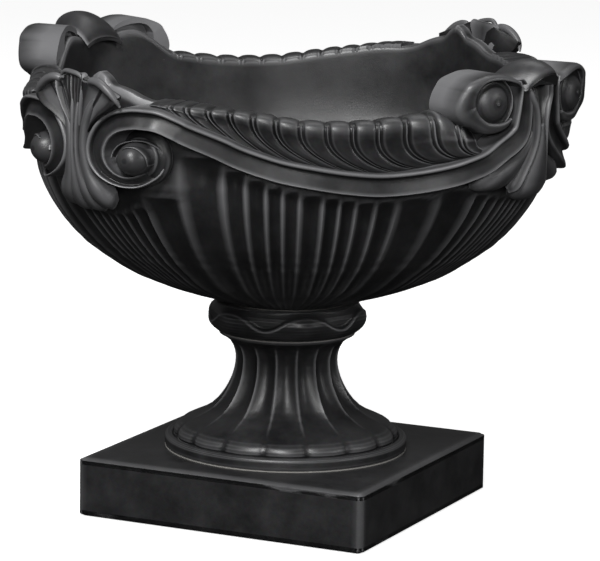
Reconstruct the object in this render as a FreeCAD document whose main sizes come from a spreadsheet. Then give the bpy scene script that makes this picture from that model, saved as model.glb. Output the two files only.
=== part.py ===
# Garden urn planter: a square plinth, a fluted foot, a ribbon collar and a wide reeded bowl whose rim
# carries four S-scrolls, four gadrooned lips and four leaf clasps, all drawn together by one hollow
# threaded tube that also drains the bowl.
# Millimetres, +Z up. The origin is the middle of the plinth's underside; the side that faces -Y has the
# downward scroll on its left. Angles run round the axis from -Y towards +X.

import FreeCAD, Part
import math
import os
import Sketcher
from FreeCAD import Vector

doc = FreeCAD.newDocument("urn_planter")
sheet = doc.addObject("Spreadsheet::Sheet", "sizes")

# ---------------------------------------------------------------- driving dimensions
SIZES = [
    ("plinth_side", 305.0, "side of the square plinth"),
    ("plinth_height", 59.0, "plinth, underside to top face"),
    ("plinth_round", 5.5, "rounded edges of the plinth"),
    ("plinth_turn", -30.0, "turn of the plinth under the urn, degrees"),
    ("bedding", 1.0, "bed of jointing compound between two castings"),
    ("foot_radius", 120.0, "radius of the foot's round base"),
    ("foot_thickness", 12.0, "thickness of the foot's round base"),
    ("foot_lip", 8.0, "width of the raised lip round the base"),
    ("foot_channel", 2.5, "depth of the channel inside the lip"),
    ("tongue_radius", 105.0, "radius where two tongues of the foot meet"),
    ("tongue_bulge", 5.0, "how far a tongue's rounded end stands out"),
    ("tongue_height", 6.0, "upright edge of the tongues"),
    ("stem_height", 116.0, "foot, underside to top"),
    ("waist_radius", 51.3, "stem's arrises at the waist"),
    ("neck_radius", 68.0, "stem's arrises at the top"),
    ("flutes", 16.0, "flutes round the foot"),
    ("flute_depth", 6.5, "depth of a flute at the waist"),
    ("flute_turn", 6.5, "turn of the first arris from the middle of the front, degrees"),
    ("collar_height", 29.0, "height of the ribbon collar"),
    ("collar_radius", 78.0, "largest mean radius of the collar"),
    ("collar_seat", 67.0, "radius of the collar's flat ends"),
    ("ribbon_waves", 6.0, "swags of the ribbon round the collar"),
    ("ribbon_relief", 2.6, "how far the ribbon stands in and out"),
    ("ribbon_turn", -21.0, "turn of the first swag from the middle of the front, degrees"),
    ("bowl_seat", 60.0, "radius of the flat under the bowl"),
    ("bowl_radius", 250.0, "bowl wall at the middle of a side"),
    ("corner_bulge", 26.0, "how much wider the wall is at a clasp"),
    ("bowl_depth", 145.0, "underside of the bowl to where its wall is upright"),
    ("rim_middle", 212.0, "underside of the bowl to the low part of the rim"),
    ("rim_corner", 264.0, "underside of the bowl to the rim at an upward clasp"),
    ("bowl_wall", 16.0, "thickness of the bowl's wall"),
    ("bowl_floor", 31.0, "underside of the bowl to its inner floor"),
    ("floor_radius", 90.0, "radius of the flat inner floor"),
    ("reeds", 16.0, "flutes on one side of the bowl"),
    ("reed_depth", 3.6, "depth of a common bowl flute at the top"),
    ("reed_swell", 0.5, "how much wider the wide flutes are"),
    ("rim_cap", 3.0, "how much of a lip lies on top of the rim"),
    ("bond", 0.3, "glue line behind an ornament"),
    ("scroll_width", 22.0, "width of the scroll band"),
    ("scroll_relief", 12.0, "how far the scroll band stands out at its middle"),
    ("scroll_low", 154.0, "underside of the bowl to the middle of the band at its lowest"),
    ("scroll_eye", 13.0, "radius of a scroll's eye"),
    ("down_eye", 177.0, "underside of the bowl to the eye of the downward scroll"),
    ("up_eye", 227.0, "underside of the bowl to the eye of the upward scroll"),
    ("snail_relief", 37.0, "how far the shell over the upward eye stands out"),
    ("lip_relief", 11.0, "how far a gadroon stands out"),
    ("lip_count", 14.0, "gadroons on one side"),
    ("clasp_relief", 32.0, "how far a clasp stands out where it is fullest"),
    ("clasp_ridges", 5.0, "ridges across a clasp"),
    ("clasp_round", 10.0, "how far a clasp's face falls back at its edges"),
    ("leaf_thickness", 7.0, "thickness of a leaf tip on a clasp"),
    ("tube_radius", 10.5, "threaded tie tube, outside"),
    ("tube_bore", 7.5, "threaded tie tube, inside radius"),
    ("tube_clear", 1.5, "clearance round the tube in the castings"),
    ("thread_clear", 0.15, "clearance of a locknut on the tube"),
    ("tube_setback", 12.0, "tube end above the plinth's underside"),
    ("recess_radius", 31.0, "locknut recess, in the plinth and the bowl floor"),
    ("recess_height", 28.0, "depth of the recess under the plinth"),
    ("washer_radius", 26.0, "round rubber seal"),
    ("plate_radius", 29.0, "square plate washers, over the corners"),
    ("washer_thickness", 3.0, "steel washers and rubber seal"),
    ("nut_radius", 19.0, "locknuts, over the corners"),
    ("nut_height", 9.0, "locknuts"),
    ("nut_clear", 1.0, "floor above the top of the upper locknut"),
]
row = 0
for alias, value, meaning in SIZES:
    row += 1
    sheet.set("A%d" % row, meaning)
    sheet.set("B%d" % row, "%g" % value)
    sheet.setAlias("B%d" % row, alias)
doc.recompute()


def size(alias):
    """A driving dimension, read from the sheet."""
    return float(getattr(sheet, alias))


# ---------------------------------------------------------------- heights that follow from them
FOOT_BASE = size("plinth_height") + size("bedding")
FOOT_TOP = FOOT_BASE + size("stem_height")
COLLAR_BASE = FOOT_TOP + size("bedding")
COLLAR_TOP = COLLAR_BASE + size("collar_height")
BOWL_BASE = COLLAR_TOP + size("bedding")
BOWL_FLOOR = BOWL_BASE + size("bowl_floor")
HOLE = size("tube_radius") + size("tube_clear")
parts = {}


def keep(name, shape):
    """One sub-part of the document from a finished shape."""
    feature = doc.addObject("Part::Feature", name)
    feature.Label = name
    feature.Shape = shape
    parts[name] = feature
    return feature


def around(angle, radius, height):
    """The point at an angle (degrees from -Y towards +X), a radius and a height."""
    turn = math.radians(angle)
    return Vector(radius * math.sin(turn), -radius * math.cos(turn), height)


def polygon(points):
    """A closed wire of straight edges."""
    return Part.makePolygon(list(points) + [points[0]])


def skin(sections, closed=False):
    """A solid over flat sections of equally many points, with a fold across each of its panels."""
    faces = []
    if closed:
        sections = sections + sections[:1]
    else:
        faces = [Part.Face(polygon(sections[0])), Part.Face(polygon(sections[-1]))]
    for low, high in zip(sections, sections[1:]):
        for k in range(len(low)):
            after = (k + 1) % len(low)
            faces.append(Part.Face(polygon([low[k], low[after], high[after]])))
            faces.append(Part.Face(polygon([low[k], high[after], high[k]])))
    shell = Part.Shell(faces)
    shell.sewShape()
    solid = Part.Solid(shell)
    if solid.Volume < 0:
        solid.reverse()
    return solid


def curve_through(pairs, at):
    """A smooth value at a place between given (place, value) pairs, without overshoot."""
    count = len(pairs)
    if at <= pairs[0][0]:
        return pairs[0][1]
    if at >= pairs[-1][0]:
        return pairs[-1][1]
    slopes = []
    for k in range(count - 1):
        slopes.append((pairs[k + 1][1] - pairs[k][1]) / (pairs[k + 1][0] - pairs[k][0]))
    tangents = [slopes[0]]
    for k in range(1, count - 1):
        if slopes[k - 1] * slopes[k] <= 0:
            tangents.append(0.0)
        else:
            tangents.append(2 * slopes[k - 1] * slopes[k] / (slopes[k - 1] + slopes[k]))
    tangents.append(slopes[-1])
    for k in range(count - 1):
        if at <= pairs[k + 1][0]:
            span = pairs[k + 1][0] - pairs[k][0]
            part = (at - pairs[k][0]) / span
            return (
                pairs[k][1] * (2 * part**3 - 3 * part**2 + 1)
                + span * tangents[k] * (part**3 - 2 * part**2 + part)
                + pairs[k + 1][1] * (3 * part**2 - 2 * part**3)
                + span * tangents[k + 1] * (part**3 - part**2)
            )


# ---------------------------------------------------------------- the plinth
def make_plinth():
    """Square slab with rounded edges, a through hole and a locknut recess underneath."""
    body = doc.addObject("PartDesign::Body", "plinth")
    body.Label = "plinth"
    ground = [f for f in body.Origin.OriginFeatures if f.Role == "XY_Plane"][0]

    outline = body.newObject("Sketcher::SketchObject", "plinth_outline")
    outline.AttachmentSupport = (ground, [""])
    outline.MapMode = "FlatFace"
    half = size("plinth_side") / 2
    corners = [Vector(-half, -half), Vector(half, -half), Vector(half, half), Vector(-half, half)]
    for k in range(4):
        outline.addGeometry(Part.LineSegment(corners[k], corners[(k + 1) % 4]))
    for k in range(4):
        outline.addConstraint(Sketcher.Constraint("Coincident", k, 2, (k + 1) % 4, 1))
    for k in range(4):
        kind = "Horizontal" if k % 2 == 0 else "Vertical"
        outline.addConstraint(Sketcher.Constraint(kind, k))
    outline.addConstraint(Sketcher.Constraint("Symmetric", 0, 1, 1, 2, -1, 1))
    wide = outline.addConstraint(Sketcher.Constraint("DistanceX", 0, 1, 0, 2, 2 * half))
    deep = outline.addConstraint(Sketcher.Constraint("DistanceY", 1, 1, 1, 2, 2 * half))
    outline.setExpression("Constraints[%d]" % wide, "sizes.plinth_side")
    outline.setExpression("Constraints[%d]" % deep, "sizes.plinth_side")

    slab = body.newObject("PartDesign::Pad", "plinth_slab")
    slab.Profile = outline
    slab.setExpression("Length", "sizes.plinth_height")
    doc.recompute()

    rounding = body.newObject("PartDesign::Fillet", "plinth_rounding")
    rounding.Base = (slab, ["Edge%d" % (k + 1) for k in range(len(slab.Shape.Edges))])
    rounding.setExpression("Radius", "sizes.plinth_round")
    doc.recompute()

    for label, radius, depth in (
        ("recess", "sizes.recess_radius", "sizes.recess_height"),
        ("tube_hole", "sizes.tube_radius + sizes.tube_clear", "sizes.plinth_height"),
    ):
        circle = body.newObject("Sketcher::SketchObject", label + "_circle")
        circle.AttachmentSupport = (ground, [""])
        circle.MapMode = "FlatFace"
        circle.addGeometry(Part.Circle(Vector(0, 0, 0), Vector(0, 0, 1), HOLE))
        circle.addConstraint(Sketcher.Constraint("Coincident", 0, 3, -1, 1))
        bound = circle.addConstraint(Sketcher.Constraint("Radius", 0, HOLE))
        circle.setExpression("Constraints[%d]" % bound, radius)
        pocket = body.newObject("PartDesign::Pocket", label)
        pocket.Profile = circle
        pocket.Reversed = True
        pocket.setExpression("Length", depth)
        doc.recompute()
    body.setExpression("Placement.Rotation.Angle", "sizes.plinth_turn")
    body.Placement.Rotation.Axis = Vector(0, 0, 1)
    doc.recompute()
    parts["plinth"] = body


# ---------------------------------------------------------------- rings, washers, nuts and the tube
def make_ring(name, outer, inner, height, base):
    """A flat ring: one cylinder cut from another, all bound to the sheet."""
    solids = []
    for part_name, radius in ((name + "_outside", outer), (name + "_inside", inner)):
        cylinder = doc.addObject("Part::Cylinder", part_name)
        cylinder.setExpression("Radius", radius)
        cylinder.setExpression("Height", height)
        cylinder.setExpression("Placement.Base.z", base)
        solids.append(cylinder)
    ring = doc.addObject("Part::Cut", name)
    ring.Label = name
    ring.Base = solids[0]
    ring.Tool = solids[1]
    parts[name] = ring


def make_prism(name, sides, radius, inner, height, base):
    """A square plate washer or a hexagon nut: a prism with a round hole, all bound to the sheet."""
    prism = doc.addObject("Part::Prism", name + "_outside")
    prism.Polygon = sides
    prism.setExpression("Circumradius", radius)
    hole = doc.addObject("Part::Cylinder", name + "_hole")
    hole.setExpression("Radius", inner)
    for solid in (prism, hole):
        solid.setExpression("Height", height)
        solid.setExpression("Placement.Base.z", base)
    part = doc.addObject("Part::Cut", name)
    part.Label = name
    part.Base = prism
    part.Tool = hole
    parts[name] = part


HOLE_SIZE = "sizes.tube_radius + sizes.tube_clear"
FOOT_BASE_SIZE = "sizes.plinth_height + sizes.bedding"
FOOT_TOP_SIZE = FOOT_BASE_SIZE + " + sizes.stem_height"
COLLAR_TOP_SIZE = FOOT_TOP_SIZE + " + sizes.bedding + sizes.collar_height"
FLOOR_SIZE = COLLAR_TOP_SIZE + " + sizes.bedding + sizes.bowl_floor"
UPPER_NUT = FLOOR_SIZE + " - sizes.nut_clear - sizes.nut_height"
LOWER_WASHER = "sizes.recess_height - sizes.washer_thickness"
LOWER_NUT = LOWER_WASHER + " - sizes.nut_height"
THREAD_SIZE = "sizes.tube_radius + sizes.thread_clear"


def make_fixings():
    """Beds between the castings, and the tube that ties them together."""
    bed = "sizes.bedding"
    make_ring("plinth_bedding", "sizes.foot_radius", HOLE_SIZE, bed, "sizes.plinth_height")
    make_ring("collar_bedding", "sizes.collar_seat", HOLE_SIZE, bed, FOOT_TOP_SIZE)
    make_ring("bowl_bedding", "sizes.bowl_seat", HOLE_SIZE, bed, COLLAR_TOP_SIZE)
    length = FLOOR_SIZE + " - sizes.tube_setback"
    make_ring("drain_tie_tube", "sizes.tube_radius", "sizes.tube_bore", length, "sizes.tube_setback")
    washer = "sizes.washer_thickness"
    make_ring("seal_washer", "sizes.washer_radius", HOLE_SIZE, washer, UPPER_NUT + " - 2 * " + washer)
    plate = "sizes.plate_radius"
    for name, sides, radius, inner, height, base in (
        ("lower_washer", 4, plate, HOLE_SIZE, washer, LOWER_WASHER),
        ("upper_washer", 4, plate, HOLE_SIZE, washer, UPPER_NUT + " - " + washer),
        ("lower_locknut", 6, "sizes.nut_radius", THREAD_SIZE, "sizes.nut_height", LOWER_NUT),
        ("upper_locknut", 6, "sizes.nut_radius", THREAD_SIZE, "sizes.nut_height", UPPER_NUT),
    ):
        make_prism(name, sides, radius, inner, height, base)
    doc.recompute()


# ---------------------------------------------------------------- the fluted foot
FLUTE_CHORDS = 4


def flute_ring(radius, depth, height, count):
    """A ring of flutes: their arrises lie on the radius, their middles are sunk by the depth."""
    points = []
    for k in range(count * FLUTE_CHORDS):
        share = (k % FLUTE_CHORDS) / FLUTE_CHORDS
        angle = size("flute_turn") + 360.0 * k / (count * FLUTE_CHORDS)
        points.append(around(angle, radius - depth * math.sin(math.pi * share), height))
    return points


def make_foot():
    """Round base with a raised lip, sixteen tongues on it, and the stem that they run up into."""
    count = int(size("flutes"))
    base_top = FOOT_BASE + size("foot_thickness")
    channel = base_top - size("foot_channel")
    base = Part.makeCylinder(size("foot_radius"), size("foot_thickness"), Vector(0, 0, FOOT_BASE))
    rim = [edge for edge in base.Edges if edge.BoundBox.ZMin > FOOT_BASE + 1 and edge.BoundBox.ZLength < 1]
    base = base.makeChamfer(size("foot_channel") / 2, rim)
    sunk = Part.makeCylinder(size("foot_radius") - size("foot_lip"), size("foot_channel"), Vector(0, 0, channel))
    base = base.cut(sunk)

    bulge = -size("tongue_bulge")
    shoulder = channel + size("tongue_height")
    tongues = Part.Face(polygon(flute_ring(size("tongue_radius"), bulge, channel, count)))
    tongues = tongues.extrude(Vector(0, 0, size("tongue_height")))

    # the stem's arrises, as shares of the way up from the shoulder and of the way in to the waist
    rise = FOOT_TOP - shoulder
    reach = size("tongue_radius") - size("waist_radius")
    flare = size("neck_radius") - size("waist_radius")
    deep = size("flute_depth")
    stations = [
        (0.0, size("tongue_radius"), bulge),
        (0.035, size("waist_radius") + 0.955 * reach, 0.55 * bulge),
        (0.12, size("waist_radius") + 0.72 * reach, 0.45 * deep),
        (0.21, size("waist_radius") + 0.445 * reach, deep),
        (0.33, size("waist_radius") + 0.235 * reach, deep),
        (0.5, size("waist_radius") + 0.07 * reach, deep),
        (0.72, size("waist_radius"), deep),
        (0.86, size("waist_radius") + 0.1 * flare, 0.9 * deep),
        (0.93, size("waist_radius") + 0.38 * flare, 0.75 * deep),
        (1.0, size("neck_radius"), 0.45 * deep),
    ]
    rings = [flute_ring(radius, depth, shoulder + share * rise, count) for share, radius, depth in stations]
    stem = skin(rings)
    hole = Part.makeCylinder(HOLE, size("stem_height"), Vector(0, 0, FOOT_BASE))
    foot = base.fuse([tongues, stem]).removeSplitter().cut(hole)
    keep("fluted_foot", foot)


# ---------------------------------------------------------------- the ribbon collar
SWAG_CHORDS = 8
# share of the collar's height, share of its swell, and how the ribbon stands there in the middle of a
# swag: full below it, sunk above it
COLLAR_LINE = [
    (0.0, 0.35, 0.0),
    (0.12, 0.64, 0.2),
    (0.27, 0.90, 0.5),
    (0.45, 1.02, 0.4),
    (0.58, 1.06, -0.3),
    (0.70, 1.02, -1.0),
    (0.82, 0.84, -1.0),
    (0.93, 0.68, -0.5),
    (1.0, 0.62, 0.0),
]


def make_collar():
    """A round collar with a ribbon that hangs in swags round it."""
    swags = int(size("ribbon_waves"))
    low = size("collar_seat")
    swell = size("collar_radius") - low
    rings = []
    for share, part, sway in COLLAR_LINE:
        points = []
        for k in range(swags * SWAG_CHORDS):
            angle = 360.0 * k / (swags * SWAG_CHORDS)
            wave = size("ribbon_relief") * sway * math.cos(math.radians(angle * swags))
            height = COLLAR_BASE + share * size("collar_height")
            points.append(around(angle + size("ribbon_turn"), low + part * swell + wave, height))
        rings.append(points)
    hole = Part.makeCylinder(HOLE, size("collar_height"), Vector(0, 0, COLLAR_BASE))
    keep("ribbon_collar", skin(rings).cut(hole))


# ---------------------------------------------------------------- the bowl
def wall_radius(angle, full=1.0):
    """Outside of the bowl's upright wall at an angle; a side is 90 degrees, its middle at 0."""
    off = abs((angle + 45.0) % 90.0 - 45.0) / 45.0
    return size("bowl_radius") + full * size("corner_bulge") * (4 * off**3 - 3 * off**4)


def side_of(angle):
    """The angle from the middle of its side, measured from a downward scroll (-45) to an upward one."""
    side = int(math.floor((angle + 45.0) / 90.0)) % 4
    off = (angle + 45.0) % 90.0 - 45.0
    return off if side % 2 == 0 else -off


RIM_LINE = [
    (-45.0, 0.90),
    (-42.0, 0.81),
    (-39.0, 0.65),
    (-35.0, 0.54),
    (-30.0, 0.42),
    (-26.0, 0.35),
    (-17.0, 0.20),
    (-10.0, 0.11),
    (0.0, 0.02),
    (8.0, 0.0),
    (20.0, 0.10),
    (25.0, 0.19),
    (27.5, 0.37),
    (31.0, 0.69),
    (36.5, 0.85),
    (41.0, 0.75),
    (43.5, 0.94),
    (45.0, 1.0),
]


def rim_height(angle):
    """Top of the rim at an angle from the middle of a side, downward scroll at -45."""
    low = BOWL_BASE + size("rim_middle")
    return low + (size("rim_corner") - size("rim_middle")) * curve_through(RIM_LINE, angle)


def reed_angles():
    """Arrises of the bowl's flutes, wider apart half way between a side's middle and its ends."""
    count = int(size("reeds"))
    angles = []
    for side in range(4):
        for k in range(count):
            share = k / count
            warp = size("reed_swell") / (4 * math.pi) * math.sin(4 * math.pi * (share - 0.25))
            angles.append(90.0 * side - 45.0 + 90.0 * (share + warp))
    return angles


def chord_radius(angle):
    """Outside of the upright wall between two arrises, which the wall joins in a straight line."""
    turn = (angle + 45.0) % 360.0 - 45.0
    arrises = reed_angles() + [315.0]
    for before, after in zip(arrises, arrises[1:]):
        if turn <= after:
            low = wall_radius(before)
            high = wall_radius(after)
            span = math.sin(math.radians(after - before))
            share = low * math.sin(math.radians(turn - before)) + high * math.sin(math.radians(after - turn))
            return low * high * span / share


def rim_top(angle):
    """Top of the bowl's rim under a lip, straight from one arris to the next."""
    angles = reed_angles() + [315.0]
    turn = (angle + 45.0) % 360.0 - 45.0
    for before, after in zip(angles, angles[1:]):
        if turn <= after:
            low = rim_height(side_of(before))
            high = rim_height(side_of(after))
            return low + (high - low) * (turn - before) / (after - before) - size("rim_cap")


def bowl_profile():
    """Outside of the bowl up to where it is upright, as (height, radius, share of the soft square)."""
    rings = []
    reach = size("bowl_radius") - size("bowl_seat")
    for share, part, square in (
        (0.0, 0.0, 0.0),
        (0.035, 0.095, 0.0),
        (0.13, 0.325, 0.0),
        (0.22, 0.49, 0.0),
        (0.34, 0.645, 0.02),
        (0.48, 0.78, 0.12),
        (0.63, 0.88, 0.38),
        (0.8, 0.955, 0.76),
        (1.0, 1.0, 1.0),
    ):
        rings.append((BOWL_BASE + share * size("bowl_depth"), size("bowl_seat") + part * reach, square))
    return rings


INNER_CHORDS = 32


def make_bowl():
    """Reeded shell: round below, a soft square above, with a rim that rises to the four clasps."""
    depth = size("bowl_depth")
    high = BOWL_BASE + size("rim_corner") + size("bowl_wall")
    joint = BOWL_BASE + size("rim_middle") - size("bowl_wall") / 2
    angles = reed_angles()
    arrises = angles + [angles[0] + 360.0]
    sections = []
    for height, radius, square in bowl_profile():
        points = []
        for k in range(len(angles)):
            bulge = wall_radius(arrises[k], square) - size("bowl_radius")
            points.append(around(arrises[k], radius + bulge, height))
            middle = (arrises[k] + arrises[k + 1]) / 2
            width = math.radians(arrises[k + 1] - arrises[k]) * radius
            sunk = size("reed_depth") * width / (math.radians(90.0 / size("reeds")) * size("bowl_radius"))
            bulge = wall_radius(middle, square) - size("bowl_radius")
            points.append(around(middle, radius + bulge - sunk, height))
        sections.append(points)
    upright = Part.Face(polygon(sections[-1])).extrude(Vector(0, 0, joint - BOWL_BASE - depth))
    outside = skin(sections).fuse(upright)

    # the rim above the joint, swept round through upright slices
    slices = []
    inner = size("bowl_radius") - 3 * size("bowl_wall")
    for angle in reed_angles():
        top = rim_top(angle)
        edge = chord_radius(angle)
        corners = [(inner, joint), (edge, joint), (edge, top), (inner, top)]
        slices.append([around(angle, radius, height) for radius, height in corners])
    rim = skin(slices, closed=True)

    hollow = []
    wall = size("bowl_wall")
    floor = size("floor_radius")
    inside = size("bowl_radius") - wall - floor
    rise = BOWL_BASE + depth - BOWL_FLOOR
    for share, part, square in (
        (0.0, 0.0, 0.0),
        (0.06, 0.18, 0.0),
        (0.2, 0.43, 0.03),
        (0.4, 0.64, 0.15),
        (0.62, 0.81, 0.38),
        (0.88, 0.94, 0.75),
        (1.2, 1.0, 1.0),
    ):
        hollow.append((BOWL_FLOOR + share * rise, floor + part * inside, square))
    hollow.append((high, size("bowl_radius") - wall, 1.0))
    sections = []
    for height, radius, square in hollow:
        section = []
        for k in range(INNER_CHORDS):
            angle = 360.0 * k / INNER_CHORDS
            bulge = wall_radius(angle, square) - size("bowl_radius")
            section.append(around(angle, radius + bulge, height))
        sections.append(section)
    space = skin(sections)
    drop = size("nut_clear") + size("nut_height") + 2 * size("washer_thickness")
    recess = Part.makeCylinder(size("recess_radius"), drop + 1, Vector(0, 0, BOWL_FLOOR - drop))
    hole = Part.makeCylinder(HOLE, size("bowl_floor"), Vector(0, 0, BOWL_BASE))
    bowl = outside.fuse(rim).cut(space).cut(recess).cut(hole)
    keep("bowl", bowl)



# ---------------------------------------------------------------- the ornaments round the rim
# They are drawn on the front side of the rim, where an angle runs from -45 at the downward scroll to
# +45 at the upward one. The other three sides are that one turned, every second one mirrored.
ARC = math.radians(size("bowl_radius") + size("corner_bulge") + size("scroll_relief"))
SUNK = -4.0


def seat_block():
    """The bowl's outside with the glue line on it: what an ornament's back is cut to."""
    rings = bowl_profile()[-3:]
    rings.append((BOWL_BASE + size("rim_corner") + size("clasp_relief"), size("bowl_radius"), 1.0))
    sections = []
    for height, radius, square in rings:
        section = []
        for angle in reed_angles():
            bulge = wall_radius(angle, square) - size("bowl_radius")
            section.append(around(angle, radius + bulge + size("bond"), height))
        sections.append(section)
    return skin(sections)


def wall_frame(angle):
    """Directions along and out of the wall at an angle."""
    out = around(angle, 1.0, 0)
    return Vector(-out.y, out.x, 0), out


def ribbon(stations, section):
    """A moulding along a line on the wall; stations are (angle, height, half width, relief)."""
    sections = []
    for k in range(len(stations)):
        before = stations[max(k - 1, 0)]
        after = stations[min(k + 1, len(stations) - 1)]
        run = Vector((after[0] - before[0]) * ARC, 0, after[1] - before[1])
        run.normalize()
        angle, height, half, relief = stations[k]
        along, out = wall_frame(angle)
        across = along * -run.z + Vector(0, 0, run.x)
        middle = around(angle, wall_radius(angle), height)
        sections.append(
            [
                middle + across * (share * half) + out * (off * relief if off > 0 else SUNK)
                for share, off in section
            ]
        )
    return skin(sections)


def boss(angle, height, profile):
    """A turned boss on the wall from (radius, height off the wall) pairs."""
    along, out = wall_frame(angle)
    middle = around(angle, wall_radius(angle), height)
    sides = 12
    sections = []
    for radius, off in [(profile[0][0], SUNK)] + profile:
        section = []
        for k in range(sides):
            turn = 2 * math.pi * k / sides
            spoke = along * math.cos(turn) + Vector(0, 0, math.sin(turn))
            section.append(middle + out * off + spoke * radius)
        sections.append(section)
    return skin(sections)


def coil(eye, stations, relief):
    """Stations round an eye, from (direction, distance, half width) in half widths of the band."""
    half = size("scroll_width") / 2
    found = []
    for direction, distance, width in stations:
        turn = math.radians(direction)
        angle = eye[0] + distance * half * math.cos(turn) / ARC
        height = eye[1] + distance * half * math.sin(turn)
        found.append((angle, height, width * half, relief(angle, width)))
    return found


DOWN_EYE = (-33.3, BOWL_BASE + size("down_eye"))
UP_EYE = (34.5, BOWL_BASE + size("up_eye"))
# middle of the band between its ends, as a height over the low point of the S
SCROLL_LINE = [
    (-28.0, 52.5),
    (-21.0, 38.5),
    (-14.0, 24.6),
    (-7.0, 14.0),
    (0.0, 7.5),
    (7.0, 2.5),
    (14.0, 0.0),
    (21.0, 2.5),
    (28.0, 9.5),
    (33.0, 18.0),
]
# the band's ends: direction from the eye (90 is up), distance and half width in half band widths
DOWN_COIL = [
    (425.0, 1.70, 0.22),
    (395.0, 1.74, 0.34),
    (360.0, 1.82, 0.46),
    (325.0, 1.92, 0.56),
    (290.0, 2.05, 0.66),
    (255.0, 2.30, 0.76),
    (220.0, 2.64, 0.84),
    (185.0, 3.02, 0.91),
    (150.0, 3.36, 0.96),
    (118.0, 3.66, 1.0),
    (90.0, 3.82, 1.0),
]
UP_COIL = [
    (-79.0, 4.05, 0.95),
    (-60.0, 3.07, 0.78),
    (-40.0, 2.62, 0.58),
    (-18.0, 2.46, 0.40),
    (6.0, 2.40, 0.22),
]
SNAIL = [
    (243.0, 2.35, 0.30),
    (216.0, 3.0, 0.9),
    (192.0, 3.72, 1.56),
    (170.0, 3.72, 1.62),
    (150.0, 3.30, 1.25),
    (130.0, 2.86, 0.8),
    (108.0, 2.5, 0.45),
    (80.0, 2.38, 0.32),
    (50.0, 2.33, 0.25),
    (25.0, 2.3, 0.2),
]
COVE = [(-1.0, 0.0), (-1.0, 0.72), (-0.72, 0.9), (0.35, 0.5), (0.6, 1.0), (1.0, 1.0), (1.0, 0.0)]
ROUND = [(-1.0, 0.0), (-1.0, 0.3), (-0.65, 0.8), (0.0, 1.0), (0.65, 0.8), (1.0, 0.3), (1.0, 0.0)]


# how far the band stands out by angle, in reliefs at its middle: a coil lies in one upright plane
RELIEF_LINE = [
    (-45.0, 2.45),
    (-36.0, 2.5),
    (-31.0, 2.7),
    (-27.0, 2.7),
    (-21.0, 1.95),
    (-14.0, 1.35),
    (-7.0, 1.05),
    (0.0, 1.0),
    (14.0, 1.0),
    (21.0, 1.15),
    (28.0, 1.5),
    (33.0, 1.8),
    (38.0, 1.95),
    (45.0, 1.95),
]


def band_relief(angle, width=1.0):
    """How far the band stands out: more towards the clasps."""
    return size("scroll_relief") * curve_through(RELIEF_LINE, angle)


def snail_relief(angle, width):
    """The shell over the upward eye: highest where it is widest."""
    return size("snail_relief") * (0.62 + 0.38 * min(width / 1.6, 1.0))


def make_scroll():
    """S-shaped cove band with a bead on it, a coil at its left end and a snail's shell at its right."""
    half = size("scroll_width") / 2
    stations = coil(DOWN_EYE, DOWN_COIL, band_relief)
    for angle, height in SCROLL_LINE:
        stations.append((angle, BOWL_BASE + size("scroll_low") + height, half, band_relief(angle)))
    stations += coil(UP_EYE, UP_COIL, band_relief)
    eye = size("scroll_eye")
    solids = [ribbon(stations, COVE)]
    solids.append(ribbon(coil(UP_EYE, SNAIL, snail_relief), ROUND))
    low = band_relief(DOWN_EYE[0])
    high = size("snail_relief")
    solids.append(boss(*DOWN_EYE, [(1.7 * eye, 0.6 * low), (eye, 0.6 * low), (eye, 0.85 * low), (0.6 * eye, 1.1 * low)]))
    solids.append(boss(*UP_EYE, [(1.95 * eye, 0.55 * high), (1.3 * eye, 0.7 * high), (0.2 * eye, 1.05 * high)]))
    return solids


def lip_low(angle):
    """Top edge of the band's bead at an angle, where a gadroon lip starts."""
    half = size("scroll_width") / 2
    coil_top = size("down_eye") + DOWN_COIL[-1][1] * half - size("scroll_low")
    line = curve_through([(DOWN_EYE[0], coil_top)] + SCROLL_LINE, angle)
    slope = 1.08 if angle < 0 else 1.03
    return BOWL_BASE + size("scroll_low") + line + slope * half + 1.6


LIP_TOP = [
    (-31.0, 0.0),
    (-22.0, 0.0),
    (19.5, 0.0),
    (21.0, -6.0),
    (22.2, -16.0),
    (23.6, -28.0),
    (25.5, -46.0),
]
# outline of a lip from its foot on the bead to the inner edge of the rim: share of its height,
# share of its relief, slant of a gadroon's edge there in degrees
LIP_OUTLINE = [
    (0.0, 0.30, 5.5),
    (0.10, 0.55, 3.6),
    (0.30, 0.85, 1.9),
    (0.58, 1.0, 0.7),
    (0.82, 0.92, 0.1),
    (0.96, 0.5, 0.0),
    (1.0, 0.05, 0.0),
]


def make_lip():
    """Gadroons that lean over the rim between the band and the inside."""
    count = int(size("lip_count"))
    steps = 2
    first = -31.0
    last = 25.5
    sections = []
    for k in range(count * steps + 1):
        place = first + (last - first) * k / (count * steps)
        fade = min(1.0, k / (2.0 * steps), (count * steps - k) / (2.0 * steps))
        rib = math.sin(math.pi * (k % steps) / steps)
        points = []
        for share, part, slant in LIP_OUTLINE:
            angle = place + slant * fade * (1.0 if place < 15.0 else (last - place) / (last - 15.0))
            low = lip_low(angle)
            high = rim_height(angle) + curve_through(LIP_TOP, angle)
            relief = size("lip_relief") * part * (0.72 + 0.28 * rib)
            lift = 0.0 if share < 1 else 1.2 * rib
            points.append(around(angle, wall_radius(angle) + relief + size("bond"), low + share * (high - low) + lift))
        edge = chord_radius(place) + size("bond")
        points.append(around(place, edge, rim_height(place) + curve_through(LIP_TOP, place)))
        points.append(around(place, edge, lip_low(place)))
        sections.append(points)
    return skin(sections)


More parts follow.
